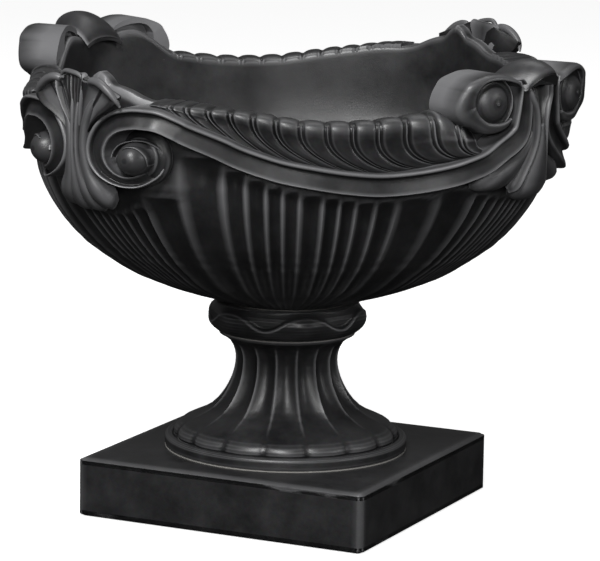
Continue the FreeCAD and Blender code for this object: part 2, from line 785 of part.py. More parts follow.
# a clasp from below: height over the bowl's underside, half width, share of the clasp's relief
DOWN_CLASP = [
    (126.0, 6.0, 0.38),
    (130.0, 13.0, 0.56),
    (138.0, 19.0, 0.72),
    (146.0, 20.0, 0.78),
    (156.0, 14.5, 0.78),
    (168.0, 10.8, 0.80),
    (188.0, 10.2, 0.80),
    (200.0, 11.5, 0.80),
    (211.0, 15.5, 0.78),
    (221.0, 22.0, 0.74),
    (231.0, 29.0, 0.68),
    (240.0, 28.0, 0.58),
    (248.0, 20.0, 0.46),
]
UP_CLASP = [
    (143.0, 14.0, 0.31),
    (148.0, 29.0, 0.53),
    (156.0, 33.0, 0.66),
    (166.0, 27.0, 0.70),
    (177.0, 20.0, 0.72),
    (190.0, 14.0, 0.74),
    (204.0, 9.5, 0.78),
    (216.0, 9.0, 0.80),
    (228.0, 11.0, 0.78),
    (240.0, 12.5, 0.74),
    (252.0, 12.0, 0.66),
    (259.5, 9.0, 0.52),
]
# leaf tips over a clasp: across, height over the bowl's underside, share of the clasp's relief, half
# width, share of the leaf's thickness; the last stations curl outward and down
DOWN_LEAVES = [
    [
        (-12.0, 201.0, 0.62, 4.0, 0.6),
        (-17.0, 217.0, 0.74, 8.0, 0.8),
        (-23.0, 233.0, 0.80, 11.0, 1.0),
        (-28.0, 245.0, 0.80, 10.0, 1.0),
        (-31.0, 252.0, 0.76, 6.0, 0.7),
    ],
    [
        (-3.0, 201.0, 0.66, 4.5, 0.6),
        (-5.0, 219.0, 0.78, 9.0, 0.8),
        (-6.0, 237.0, 0.82, 13.0, 1.0),
        (-6.5, 251.0, 0.78, 13.0, 1.0),
        (-7.0, 260.0, 0.70, 8.0, 0.7),
    ],
    [
        (10.0, 203.0, 0.62, 4.0, 0.6),
        (14.0, 219.0, 0.74, 9.0, 0.8),
        (19.0, 234.0, 0.74, 13.0, 1.0),
        (23.0, 246.0, 0.68, 15.0, 1.1),
        (26.0, 254.5, 0.74, 14.0, 1.0),
        (28.0, 255.0, 0.94, 10.0, 0.6),
    ],
]
UP_LEAVES = [
    [
        (0.0, 209.0, 0.66, 4.0, 0.6),
        (0.0, 223.0, 0.76, 8.0, 0.8),
        (0.0, 237.0, 0.76, 12.0, 1.1),
        (0.0, 249.0, 0.66, 14.5, 1.3),
        (0.0, 258.5, 0.60, 15.5, 1.2),
        (0.0, 261.5, 0.82, 15.5, 0.7),
        (0.0, 256.0, 1.02, 12.0, 0.4),
    ],
]
LEAF_SECTION = [
    (-1.0, -0.3),
    (-1.0, 0.5),
    (-0.6, 0.15),
    (0.0, 0.25),
    (0.6, 0.15),
    (1.0, 0.5),
    (1.0, -0.3),
    (0.0, -0.6),
]


def clasp_frame(angle):
    """Directions out of a corner and along its wall."""
    out = around(angle, 1.0, 0)
    return out, Vector(-out.y, out.x, 0)


def make_bundle(angle, outline):
    """The gathered strands of a clasp, ridged along their length."""
    ridges = int(size("clasp_ridges"))
    out, along = clasp_frame(angle)
    wall = size("bowl_radius") + size("corner_bulge")
    sections = []
    for height, half, part in outline:
        reach = wall + part * size("clasp_relief")
        points = [along * -half + out * size("bowl_radius")]
        for k in range(2 * ridges + 1):
            share = k / ridges - 1.0
            groove = 0.09 * half + 0.8 if k % 2 == 0 else 0.0
            points.append(along * (share * half) + out * (reach - size("clasp_round") * share**2 - groove))
        points.append(along * half + out * size("bowl_radius"))
        sections.append([point + Vector(0, 0, BOWL_BASE + height) for point in points])
    return skin(sections)


def make_leaf(angle, stations):
    """One cupped leaf on a clasp, its sections square to its middle line."""
    out, along = clasp_frame(angle)
    wall = size("bowl_radius") + size("corner_bulge")
    middles = []
    for across, height, part, half, thick in stations:
        reach = wall + part * size("clasp_relief")
        middles.append(along * across + out * reach + Vector(0, 0, BOWL_BASE + height))
    sections = []
    for k in range(len(stations)):
        run = middles[min(k + 1, len(stations) - 1)] - middles[max(k - 1, 0)]
        face = along.cross(run)
        face.normalize()
        if k == 0 and face.dot(out) < 0:
            face = face * -1.0
        if k and face.dot(last_face) < 0:
            face = face * -1.0
        last_face = face
        half, thick = stations[k][3:]
        section = []
        for share, off in LEAF_SECTION:
            section.append(middles[k] + along * (share * half) + face * (off * thick * size("leaf_thickness")))
        sections.append(section)
    return skin(sections)


def make_clasp(angle, outline, leaves):
    """A bundle of strands over a corner of the rim with curling leaf tips on top."""
    return make_bundle(angle, outline).fuse([make_leaf(angle, stations) for stations in leaves])


def make_ornaments():
    """Band, lip and two clasps of the front side, then the other sides."""
    seat = seat_block()
    solids = make_scroll()
    band = solids[0].fuse(solids[1:]).cut(seat)
    lip = make_lip()
    shapes = {}
    for number in range(4):
        for kind, shape in (("scroll_band", band), ("gadroon_lip", lip)):
            turned = shape.mirror(Vector(0, 0, 0), Vector(1, 0, 0)) if number % 2 else shape.copy()
            turned.rotate(Vector(0, 0, 0), Vector(0, 0, 1), 90.0 * number)
            shapes["%s_%s" % (kind, SIDES[number])] = turned
    for place, angle, outline, leaves in (
        ("front_left", -45.0, DOWN_CLASP, DOWN_LEAVES),
        ("front_right", 45.0, UP_CLASP, UP_LEAVES),
        ("back_right", 135.0, DOWN_CLASP, DOWN_LEAVES),
        ("back_left", 225.0, UP_CLASP, UP_LEAVES),
    ):
        shapes["leaf_clasp_" + place] = make_clasp(angle, outline, leaves).cut(seat)
    for name in sorted(shapes):
        keep(name, shapes[name])


SIDES = ["front", "right", "back", "left"]


make_plinth()
make_fixings()
make_foot()
make_collar()
make_bowl()
make_ornaments()
doc.recompute()

for item in doc.Objects:
    if "Invalid" in item.State or "Error" in item.State:
        raise ValueError("%s failed to compute" % item.Name)
for name, part in parts.items():
    if part.Shape.isNull() or not part.Shape.isValid() or len(part.Shape.Solids) != 1:
        raise ValueError("%s is not one valid solid" % name)

os.makedirs("parts", exist_ok=True)
for name, part in parts.items():
    part.Shape.exportStep("parts/%s.step" % name)
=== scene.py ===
import math

import bpy
from mathutils import Matrix, Vector


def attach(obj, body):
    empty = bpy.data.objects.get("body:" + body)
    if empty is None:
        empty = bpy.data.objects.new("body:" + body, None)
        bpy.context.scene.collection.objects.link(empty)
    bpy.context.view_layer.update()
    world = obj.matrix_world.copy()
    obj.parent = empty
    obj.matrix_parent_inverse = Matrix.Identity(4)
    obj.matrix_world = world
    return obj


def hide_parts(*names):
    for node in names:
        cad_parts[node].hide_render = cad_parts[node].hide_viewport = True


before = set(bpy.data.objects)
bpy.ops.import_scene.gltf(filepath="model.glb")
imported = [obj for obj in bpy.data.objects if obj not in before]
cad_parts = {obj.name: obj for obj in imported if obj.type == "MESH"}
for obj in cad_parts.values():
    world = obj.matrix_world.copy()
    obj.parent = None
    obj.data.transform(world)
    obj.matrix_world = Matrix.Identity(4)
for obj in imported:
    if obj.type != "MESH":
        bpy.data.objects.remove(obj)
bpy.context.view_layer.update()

bpy.ops.object.select_all(action="DESELECT")

# ---------------------------------------------------------------- camera, floor and light
# A studio shot on a white ground: the lens is long, a little above the rim and aimed past the urn's
# right, so the picture is the left part of a wider frame.
PICTURE_WIDTH = 600
LENS_PIXELS = 3562.8
LENS_AXIS = -6.56
LENS_DOWN = 10.56

camera_data = bpy.data.cameras.new("camera")
camera_data.sensor_width = 36.0
camera_data.lens = LENS_PIXELS * camera_data.sensor_width / PICTURE_WIDTH
camera_data.shift_x = (PICTURE_WIDTH / 2 - LENS_AXIS) / PICTURE_WIDTH
camera = bpy.data.objects.new("camera", camera_data)
camera.location = (-0.29106, -3.46413, 0.87123)
camera.rotation_euler = (math.radians(90.0 - LENS_DOWN), 0.0, 0.0)
bpy.context.collection.objects.link(camera)
bpy.context.scene.camera = camera
bpy.context.scene.view_settings.view_transform = "Standard"


def tint(code):
    """A colour written as sRGB hex, as the linear colour that the shaders want."""
    channels = []
    for k in (0, 2, 4):
        value = int(code[k:k + 2], 16) / 255.0
        channels.append(value / 12.92 if value <= 0.04045 else ((value + 0.055) / 1.055) ** 2.4)
    return (channels[0], channels[1], channels[2], 1.0)


def node(tree, kind, settings=None, inputs=None):
    """Adds a node, sets its properties, and fills or links its inputs."""
    made = tree.nodes.new(kind)
    for key, value in (settings or {}).items():
        setattr(made, key, value)
    for key, value in (inputs or {}).items():
        if isinstance(value, bpy.types.NodeSocket):
            tree.links.new(value, made.inputs[key])
        else:
            made.inputs[key].default_value = value
    return made


world = bpy.data.worlds.new("studio")
world.use_nodes = True
bpy.context.scene.world = world
tree = world.node_tree
tree.nodes.clear()
rays = node(tree, "ShaderNodeLightPath")
shows = node(tree, "ShaderNodeMath", {"operation": "MAXIMUM"}, {
    0: rays.outputs["Is Camera Ray"], 1: rays.outputs["Is Transmission Ray"],
})
soft = node(tree, "ShaderNodeBackground", None, {"Color": (1, 1, 1, 1), "Strength": 0.10})
white = node(tree, "ShaderNodeBackground", None, {"Color": (1, 1, 1, 1), "Strength": 1.0})
mixed = node(tree, "ShaderNodeMixShader", None, {0: shows.outputs[0], 1: soft.outputs[0], 2: white.outputs[0]})
node(tree, "ShaderNodeOutputWorld", None, {"Surface": mixed.outputs[0]})

bpy.ops.mesh.primitive_plane_add(size=12.0, location=(0, 0, 0))
floor = bpy.context.object
floor.name = "floor"
bpy.ops.object.transform_apply(location=True, rotation=True, scale=True)
paper = bpy.data.materials.new("white_paper_sweep")
paper.use_nodes = True
tree = paper.node_tree
tree.nodes.clear()
rays = node(tree, "ShaderNodeLightPath")
card = node(tree, "ShaderNodeBsdfDiffuse", None, {"Color": tint("E6E6E6")})
dull = node(tree, "ShaderNodeBsdfDiffuse", None, {"Color": tint("3C3C3C")})
glow = node(tree, "ShaderNodeEmission", None, {"Color": (1, 1, 1, 1), "Strength": 0.80})
lit = node(tree, "ShaderNodeAddShader", None, {0: card.outputs[0], 1: glow.outputs[0]})
mixed = node(tree, "ShaderNodeMixShader", None, {
    0: rays.outputs["Is Camera Ray"], 1: dull.outputs[0], 2: lit.outputs[0],
})
node(tree, "ShaderNodeOutputMaterial", None, {"Surface": mixed.outputs[0]})
floor.data.materials.append(paper)

for label, place, aim, power, width in (
    ("key_softbox", (-0.95, -2.4, 2.8), (0.0, 0.0, 0.3), 128.0, 0.9),
    ("top_softbox", (0.3, 0.7, 2.5), (0.0, 0.0, 0.3), 10.0, 1.2),
    ("front_softbox", (-0.5, -3.3, 1.3), (0.0, 0.0, 0.25), 34.0, 0.6),
    ("right_softbox", (2.6, -1.4, 1.3), (0.0, 0.0, 0.3), 15.0, 0.8),
):
    lamp_data = bpy.data.lights.new(label, "AREA")
    lamp_data.energy = power
    lamp_data.size = width
    lamp = bpy.data.objects.new(label, lamp_data)
    lamp.location = place
    lamp.rotation_euler = (Vector(aim) - Vector(place)).to_track_quat("-Z", "Y").to_euler()
    bpy.context.collection.objects.link(lamp)

# ---------------------------------------------------------------- the stone
# Cast stone: cement and fine sand rammed into a mould, stained charcoal and waxed. It gives a matt, slightly
# mottled near-black with a soft wax sheen. Its sharp edges are paler, partly real wear from hands and brushes
# and partly a painted highlight, and its hollows are darker with painted shade.
GRAIN_MM = 0.9
CLOUD_MM = 38.0

stone = bpy.data.materials.new("charcoal_cast_stone")
stone.use_nodes = True
tree = stone.node_tree
tree.nodes.clear()
place = node(tree, "ShaderNodeTexCoord").outputs["Object"]
clouds = node(tree, "ShaderNodeTexNoise", None, {
    "Vector": place, "Scale": 1000.0 / CLOUD_MM, "Detail": 5.0, "Roughness": 0.6,
})
specks = node(tree, "ShaderNodeTexNoise", None, {
    "Vector": place, "Scale": 1000.0 / (4 * GRAIN_MM), "Detail": 3.0, "Roughness": 0.7,
})
grain = node(tree, "ShaderNodeTexNoise", None, {
    "Vector": place, "Scale": 1000.0 / GRAIN_MM, "Detail": 2.0, "Roughness": 0.6,
})
base = node(tree, "ShaderNodeValToRGB", None, {"Fac": clouds.outputs["Fac"]})
base.color_ramp.elements[0].position = 0.32
base.color_ramp.elements[0].color = tint("171718")
base.color_ramp.elements[1].position = 0.70
base.color_ramp.elements[1].color = tint("2C2C2D")
speckled = node(tree, "ShaderNodeMix", {"data_type": "RGBA", "blend_type": "OVERLAY"}, {
    "Factor": 0.35, "A": base.outputs["Color"], "B": specks.outputs["Color"],
})
edges = node(tree, "ShaderNodeNewGeometry").outputs["Pointiness"]
# Convex edges lightened towards pale grey: partly real edge wear, partly a painted highlight standing in for
# light on the ornaments.
edge_wear_and_highlight = node(tree, "ShaderNodeMapRange", None, {
    "Value": edges, "From Min": 0.504, "From Max": 0.555, "To Min": 0.0, "To Max": 0.55,
})
worn_and_painted_highlight = node(tree, "ShaderNodeMix", {"data_type": "RGBA"}, {
    "Factor": edge_wear_and_highlight.outputs["Result"], "A": speckled.outputs["Result"], "B": tint("8C8C8E"),
})
# Hollows and creases darkened towards near-black: painted shade where shadow falls, not dirt.
painted_hollow_shade = node(tree, "ShaderNodeMapRange", None, {
    "Value": edges, "From Min": 0.44, "From Max": 0.497, "To Min": 0.75, "To Max": 0.0,
})
# The stone's colour with the painted highlight on its edges and the painted shade in its hollows.
wear_highlight_and_shade = node(tree, "ShaderNodeMix", {"data_type": "RGBA"}, {
    "Factor": painted_hollow_shade.outputs["Result"], "A": worn_and_painted_highlight.outputs["Result"], "B": tint("0C0C0D"),
})
gloss = node(tree, "ShaderNodeMapRange", None, {
    "Value": clouds.outputs["Fac"], "From Min": 0.3, "From Max": 0.7, "To Min": 0.34, "To Max": 0.46,
})
pits = node(tree, "ShaderNodeBump", None, {
    "Strength": 0.25, "Distance": 0.0004, "Height": grain.outputs["Fac"],
})
swell = node(tree, "ShaderNodeBump", None, {
    "Strength": 0.2, "Distance": 0.0015, "Height": clouds.outputs["Fac"], "Normal": pits.outputs["Normal"],
})
skin = node(tree, "ShaderNodeBsdfPrincipled", None, {
    "Base Color": wear_highlight_and_shade.outputs["Result"], "Roughness": gloss.outputs["Result"],
    "Normal": swell.outputs["Normal"],
})
skin.inputs["IOR"].default_value = 1.5
node(tree, "ShaderNodeOutputMaterial", None, {"Surface": skin.outputs[0]})

# ---------------------------------------------------------------- the plinth
# A slab of the same stone, cast face down in an open mould, so its arrises are softly rounded. The urn
# is bedded on it at a turn of thirty degrees. A round recess below hides the tie tube's nut.
PLINTH_SIDE = 305.0
PLINTH_HIGH = 59.0
PLINTH_ROUND = 6.5
PLINTH_TURN = -30.0
PLINTH_CUTS = 24
RECESS = 31.0
RECESS_DEEP = 28.0


def close(piece):
    """Welds a mesh's seams, fills its open ends and turns its faces outward."""
    bpy.ops.object.select_all(action="DESELECT")
    piece.select_set(True)
    bpy.context.view_layer.objects.active = piece
    bpy.ops.object.mode_set(mode="EDIT")
    bpy.ops.mesh.select_all(action="SELECT")
    bpy.ops.mesh.remove_doubles(threshold=0.00001)
    bpy.ops.mesh.fill_holes(sides=0)
    bpy.ops.mesh.select_all(action="SELECT")
    bpy.ops.mesh.normals_make_consistent(inside=False)
    bpy.ops.object.mode_set(mode="OBJECT")
    return piece


def finish(piece, cad_node, angle=40.0):
    """Closes a piece, shades it smooth, and gives it the stone and its place in the part."""
    close(piece)
    bpy.ops.object.shade_smooth_by_angle(angle=math.radians(angle))
    piece.data.materials.clear()
    piece.data.materials.append(stone)
    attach(piece, "root")
    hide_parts(cad_node)
    piece.select_set(False)


bpy.ops.mesh.primitive_cube_add(size=1.0)
plinth = bpy.context.object
plinth.name = "plinth_slab"
plinth.scale = (PLINTH_SIDE / 1000, PLINTH_SIDE / 1000, PLINTH_HIGH / 1000)
plinth.location = (0, 0, PLINTH_HIGH / 2000)
plinth.rotation_euler = (0, 0, math.radians(PLINTH_TURN))
bpy.ops.object.transform_apply(location=True, rotation=True, scale=True)
bpy.ops.object.mode_set(mode="EDIT")
bpy.ops.mesh.select_all(action="SELECT")
bpy.ops.mesh.subdivide(number_cuts=PLINTH_CUTS)
bpy.ops.mesh.select_mode(type="EDGE")
bpy.ops.mesh.select_all(action="DESELECT")
bpy.ops.mesh.edges_select_sharp(sharpness=math.radians(60.0))
bpy.ops.mesh.bevel(offset=PLINTH_ROUND / 1000, segments=6, affect="EDGES")
bpy.ops.mesh.select_mode(type="VERT")
bpy.ops.object.mode_set(mode="OBJECT")
bpy.ops.mesh.primitive_cylinder_add(
    vertices=96, radius=RECESS / 1000, depth=2 * RECESS_DEEP / 1000, location=(0, 0, 0),
)
recess = bpy.context.object
hollow = plinth.modifiers.new("recess", "BOOLEAN")
hollow.operation = "DIFFERENCE"
hollow.object = recess
bpy.context.view_layer.objects.active = plinth
bpy.ops.object.modifier_apply(modifier="recess")
bpy.data.objects.remove(recess)
finish(plinth, "plinth")

# ---------------------------------------------------------------- the fluted foot
# One casting: a round base with a raised lip, and a stem whose sixteen channels run down into rounded
# tongues. The mould leaves soft bottoms in the channels and a crisp arris between them.
FOOT_BASE = 60.0
FOOT_TOP = 176.0
FOOT_FLUTES = 16
FOOT_TURN = 6.5
HOLE = 12.0
FOOT_PROFILE = [
    (FOOT_BASE, HOLE), (FOOT_TOP, HOLE), (FOOT_TOP, 68.0), (174.0, 67.2), (171.0, 61.9), (167.0, 56.8),
    (162.0, 53.8), (157.0, 52.1), (153.0, 51.4), (148.5, 51.2), (140.0, 51.9), (135.7, 52.6), (131.5, 53.7),
    (127.0, 55.1), (123.0, 56.8), (118.6, 58.9), (114.0, 61.4), (109.5, 64.4), (104.0, 68.6), (98.0, 75.0),
    (92.0, 85.0), (88.0, 92.5), (85.0, 98.0), (82.0, 102.6), (79.0, 105.6), (76.0, 107.2), (73.0, 107.6),
    (70.6, 106.8), (69.5, 109.4), (69.5, 111.2), (70.2, 112.0), (71.2, 112.6), (71.9, 113.8), (72.0, 115.5),
    (71.6, 117.6), (70.4, 119.3), (69.0, 120.0), (66.0, 120.0), (62.0, 120.0), (60.6, 119.6),
    (FOOT_BASE, 118.6), (FOOT_BASE, 60.0),
]
FLUTE_DEPTHS = [
    (70.0, -3.6), (77.0, -3.4), (81.0, -2.4), (85.0, -0.6), (91.0, 2.6), (98.0, 5.4), (108.0, 6.2),
    (125.0, 6.4), (150.0, 6.0), (160.0, 4.8), (167.0, 2.6), (172.0, 0.6), (176.0, 0.0),
]
FLUTE_STEPS = 14
FLUTE_LOW = 69.4
FLUTE_REACH = 108.5


def around(angle, radius, height):
    """A point in metres from an angle (degrees from -Y towards +X) and millimetres."""
    turn = math.radians(angle)
    return Vector((radius * math.sin(turn), -radius * math.cos(turn), height)) / 1000.0


def between(pairs, at):
    """A smooth value at a place between given (place, value) pairs."""
    if at <= pairs[0][0]:
        return pairs[0][1]
    if at >= pairs[-1][0]:
        return pairs[-1][1]
    for k in range(len(pairs) - 1):
        if at <= pairs[k + 1][0]:
            break
    before = pairs[max(k - 1, 0)]
    low, high = pairs[k], pairs[k + 1]
    after = pairs[min(k + 2, len(pairs) - 1)]
    span = high[0] - low[0]
    part = (at - low[0]) / span
    first = (high[1] - before[1]) / (high[0] - before[0]) * span
    last = (after[1] - low[1]) / (after[0] - low[0]) * span
    return (
        low[1] * (2 * part**3 - 3 * part**2 + 1)
        + first * (part**3 - 2 * part**2 + part)
        + high[1] * (3 * part**2 - 2 * part**3)
        + last * (part**3 - part**2)
    )


def along_path(points, share):
    """A smooth point at a share of the way through a list of equally long tuples."""
    reach = share * (len(points) - 1)
    found = []
    for k in range(len(points[0])):
        found.append(between([(place, point[k]) for place, point in enumerate(points)], reach))
    return found


def sheet(name, across, along, put):
    """A grid whose every corner is put where put(across share, along share) says."""
    bpy.ops.mesh.primitive_grid_add(x_subdivisions=across, y_subdivisions=along, size=2.0)
    piece = bpy.context.object
    piece.name = name
    for corner in piece.data.vertices:
        corner.co = put((corner.co.x + 1) / 2, (corner.co.y + 1) / 2)
    piece.data.update()
    return piece


def straight_path(points, share):
    """A point at a share of the way through a list, on straight runs between its members."""
    reach = share * (len(points) - 1)
    k = min(int(reach), len(points) - 2)
    part = reach - k
    return [a + (b - a) * part for a, b in zip(points[k], points[k + 1])]


def put_foot(u, v):
    """The turned profile, with channels cut into the stem that become bulging tongues below."""
    height, radius = straight_path(FOOT_PROFILE, v)
    angle = 360.0 * u
    wave = abs(math.sin(math.radians(angle * FOOT_FLUTES / 2)))
    if FLUTE_LOW < height < FOOT_TOP and HOLE < radius < FLUTE_REACH:
        depth = between(FLUTE_DEPTHS, height)
        radius -= depth * (wave**0.85 if depth > 0 else wave**0.75)
    return around(angle + FOOT_TURN, radius, height)


foot = sheet("fluted_foot_casting", FOOT_FLUTES * FLUTE_STEPS, (len(FOOT_PROFILE) - 1) * 3, put_foot)
finish(foot, "fluted_foot", angle=50.0)

# ---------------------------------------------------------------- the ribbon collar
# A swelling ring of the same stone, cast by itself and bedded between stem and bowl, with a ribbon
# round it in six shallow swags. Above the ribbon's edge the ring steps back, below it lie soft folds.
COLLAR_BASE = 177.0
COLLAR_TOP = 206.0
COLLAR_PROFILE = [
    (COLLAR_BASE, HOLE), (COLLAR_BASE, 67.6), (178.5, 70.6), (181.0, 73.6), (184.0, 76.2), (187.0, 78.0),
    (190.0, 79.0), (193.5, 79.4), (197.0, 78.6), (200.0, 76.6), (203.0, 73.6), (205.0, 71.6),
    (COLLAR_TOP, 70.6), (COLLAR_TOP, HOLE), (COLLAR_BASE, HOLE),
]
COLLAR_WAVES = 6
COLLAR_TURN = -21.0
SWAG_MIDDLE = 196.5
SWAG_DROP = 6.5


def put_collar(u, v):
    """The turned profile with the ribbon's swags and folds on its outside."""
    height, radius = straight_path(COLLAR_PROFILE, v)
    angle = 360.0 * u
    if radius > HOLE + 1:
        phase = math.cos(math.radians(angle * COLLAR_WAVES))
        swag = SWAG_MIDDLE - SWAG_DROP * phase - 1.5 * abs(phase)
        above = 1 / (1 + math.exp(-(height - swag) * 1.6))
        rise = (height - COLLAR_BASE) / (COLLAR_TOP - COLLAR_BASE)
        body = math.sin(math.pi * rise) ** 0.6 if 0 < rise < 1 else 0.0
        lip = math.exp(-((height - swag) / 1.5) ** 2)
        fold = 1.2 * math.cos(math.radians(angle * COLLAR_WAVES * 2)) * (1 - above)
        radius += body * (-5.2 * above * (0.6 + 0.4 * phase) + 1.0 * lip + fold - 0.4)
    return around(angle + COLLAR_TURN, radius, height)


collar = sheet("ribbon_collar_casting", 240, (len(COLLAR_PROFILE) - 1) * 5, put_collar)
finish(collar, "ribbon_collar", angle=50.0)

# ---------------------------------------------------------------- the bowl
# A reeded shell rammed in one mould, round below and a soft square above. Narrow channels crowd at the
# middle and the ends of each side and open out between; each ends in a round head under the band.
BOWL_BASE = 207.0
BOWL_FLOOR = 238.0
BOWL_WALL = 16.0
WALL = 250.0
CORNER = 26.0
ARRISES = [2.5, 6.1, 9.6, 13.9, 18.5, 27.3, 35.3, 38.6, 41.5, 44.0]
BOWL_PROFILE = [
    (BOWL_BASE, 60.0), (209.0, 66.5), (211.5, 76.5), (217.0, 92.7), (221.5, 108.0), (226.0, 121.6),
    (230.0, 132.4), (234.0, 141.9), (239.0, 154.0), (244.0, 163.5), (249.5, 172.7), (255.0, 180.7),
    (260.0, 188.2), (266.0, 196.0), (271.0, 202.7), (277.0, 208.4), (282.0, 213.7), (287.5, 218.3),
    (293.0, 222.9), (298.5, 226.8), (304.0, 230.5), (310.0, 234.3), (318.0, 238.8), (328.0, 243.3),
    (338.0, 246.9), (350.0, 249.3), (362.0, 250.0), (480.0, 250.0),
]
RIM = [
    (-45.0, 461.0), (-43.5, 457.0), (-42.0, 450.0), (-40.0, 447.5), (-38.0, 444.5), (-35.0, 438.5),
    (-32.0, 435.8), (-28.0, 435.5), (-25.0, 434.5), (-20.0, 431.5), (-17.0, 430.0), (-10.0, 425.6),
    (-3.0, 421.0), (3.0, 419.5), (8.0, 419.5), (13.0, 420.6), (20.0, 424.0), (25.0, 428.0), (28.0, 437.0),
    (31.0, 447.0), (34.0, 453.0), (37.0, 453.0), (40.0, 450.0), (42.0, 452.0), (43.5, 456.0), (45.0, 458.0),
]


def side_angle(angle):
    """An angle round the urn as an angle on its side, from the downward scroll to the upward one."""
    side = int(math.floor((angle + 45.0) / 90.0)) % 4
    off = (angle + 45.0) % 90.0 - 45.0
    return off if side % 2 == 0 else -off


def square(angle):
    """How far out of the round the soft square stands, from none to all."""
    off = abs((angle + 45.0) % 90.0 - 45.0) / 45.0
    return 4 * off**3 - 3 * off**4


def wall_at(angle):
    """The upright wall's radius at an angle."""
    return WALL + CORNER * square(angle)


BAND_LINE = [
    (-31.6, 421.4), (-28.9, 420.0), (-25.7, 413.2), (-23.6, 407.6), (-18.3, 396.0), (-14.0, 386.0),
    (-7.0, 375.0), (0.0, 368.5), (7.0, 363.5), (14.0, 361.0), (21.0, 363.5), (27.0, 369.0), (30.5, 374.5),
    (33.7, 381.0),
]


def lip_foot(angle):
    """Top of the band's bead at an angle, where a gadroon starts."""
    return between(BAND_LINE, angle) + LIP_LIFT


LIP_LIFT = 9.8
HEADS = [
    (-45.0, 322.0), (-40.0, 326.0), (-36.0, 334.0), (-31.0, 346.0), (-28.0, 366.0), (-25.0, 384.0),
    (-21.0, 381.0), (-14.0, 367.0), (-7.0, 356.0), (0.0, 349.5), (7.0, 345.0), (14.0, 342.5), (21.0, 344.5),
    (27.0, 349.0), (33.0, 352.0), (38.0, 344.0), (45.0, 338.0),
]
reed_edges = []
for side in range(4):
    reed_edges += [90.0 * side - a for a in reversed(ARRISES)] + [90.0 * side + a for a in ARRISES]
reed_edges.append(reed_edges[0] + 360.0)
REED_STEPS = 8
BOWL_ROWS = 150
OUTSIDE = 0.62


def put_bowl(u, v):
    """The outside climbs the profile, the rest is the rim, the inside, the floor's recess and the hole."""
    reach = u * (len(reed_edges) - 1)
    k = min(int(reach + 1e-6), len(reed_edges) - 2)
    part = min(max(reach - k, 0.0), 1.0)
    angle = reed_edges[k] + part * (reed_edges[k + 1] - reed_edges[k])
    width = math.radians(reed_edges[k + 1] - reed_edges[k])
    top = between(RIM, side_angle(angle)) - 3.0
    edge = wall_at(angle)
    if v <= OUTSIDE:
        height = BOWL_BASE + (top - 2.0 - BOWL_BASE) * (v / OUTSIDE) ** 1.35
        radius = between(BOWL_PROFILE, height)
        wide = width * radius
        head = between(HEADS, side_angle((reed_edges[k] + reed_edges[k + 1]) / 2))
        fall = min(max((head - height) / (0.55 * wide), 0.0), 1.0)
        fade = math.sqrt(1 - (1 - fall) ** 2) * min((height - BOWL_BASE + 1.0) / 8.0, 1.0)
        deep = min(0.42 * wide, 3.6 + 0.13 * wide)
        blend = min(max((height - 255.0) / 100.0, 0.0), 1.0)
        radius += CORNER * square(angle) * blend**1.4 - deep * fade * math.sin(math.pi * part) ** 1.3
        return around(angle, radius, height)
    inner = edge - BOWL_WALL
    bulge = square(angle)
    steps = [
        (top, edge - 3.0), (top, inner + 3.0), (top - 2.5, inner + 0.4), (top - 12.0, inner - 0.2),
        (380.0, inner - 1.5), (360.0, inner - 4.0), (342.0, inner - 9.5 - 3.0 * bulge),
        (322.0, 219.0 + 15.0 * bulge), (305.0, 204.0 + 9.0 * bulge), (285.0, 184.0 + 4.0 * bulge),
        (267.0, 161.0), (254.0, 136.0), (245.0, 114.0), (239.5, 90.0), (BOWL_FLOOR, 60.0),
        (BOWL_FLOOR, RECESS + 0.5), (BOWL_FLOOR - 0.5, RECESS), (222.0, RECESS), (222.0, HOLE),
        (BOWL_BASE, HOLE), (BOWL_BASE, 58.0), (BOWL_BASE, 60.0),
    ]
    height, radius = straight_path(steps, (v - OUTSIDE) / (1 - OUTSIDE))
    return around(angle, radius, height)


bowl = sheet("reeded_bowl_casting", (len(reed_edges) - 1) * REED_STEPS, BOWL_ROWS, put_bowl)
finish(bowl, "bowl", angle=50.0)

# ---------------------------------------------------------------- the scroll bands
# Each side has an S-shaped cove with a bead along its upper edge, cast by itself and bonded on. It
# coils round a low eye at one end and runs up beside a snail's shell at the other. Coil tables give
# (direction from the eye, distance, half width, relief), and sections (offset, height) as shares.
SIDES = ["front", "right", "back", "left"]
MM_PER_DEGREE = 5.03
CARVED = 15.0
DOWN_EYE = (-34.1, 383.0)
UP_EYE = (34.5, 434.0)
DOWN_COIL = [
    (538.0, 16.5, 3.0, 27.5), (519.0, 16.0, 3.6, 26.0), (494.0, 15.0, 3.7, 24.0), (456.0, 13.8, 3.6, 21.0),
    (419.0, 14.8, 4.4, 17.5), (387.0, 17.0, 5.4, 13.5), (369.0, 18.4, 6.0, 10.5), (350.0, 19.6, 6.2, 9.0),
    (325.0, 20.2, 6.2, 11.0), (300.0, 20.4, 6.0, 16.5), (278.0, 21.4, 5.8, 23.0), (257.0, 22.2, 5.4, 27.0),
    (240.0, 23.2, 5.6, 29.0), (221.0, 25.2, 6.6, 30.0), (200.0, 28.8, 8.6, 30.5), (180.0, 32.6, 10.6, 30.5),
    (160.0, 34.9, 11.1, 30.5), (136.0, 36.2, 10.8, 31.0), (113.0, 37.2, 10.6, 31.5), (90.0, 38.0, 10.2, 32.0),
]
UP_COIL = [
    (-75.0, 44.5, 11.3, 24.5), (-57.0, 41.9, 11.6, 25.5), (-43.0, 40.0, 11.4, 26.0), (-24.0, 34.5, 10.4, 26.5),
    (0.0, 32.0, 8.6, 27.0), (21.0, 32.6, 5.6, 27.5), (38.0, 33.4, 2.6, 27.5),
]
SNAIL_EYE = (33.5, 435.3)
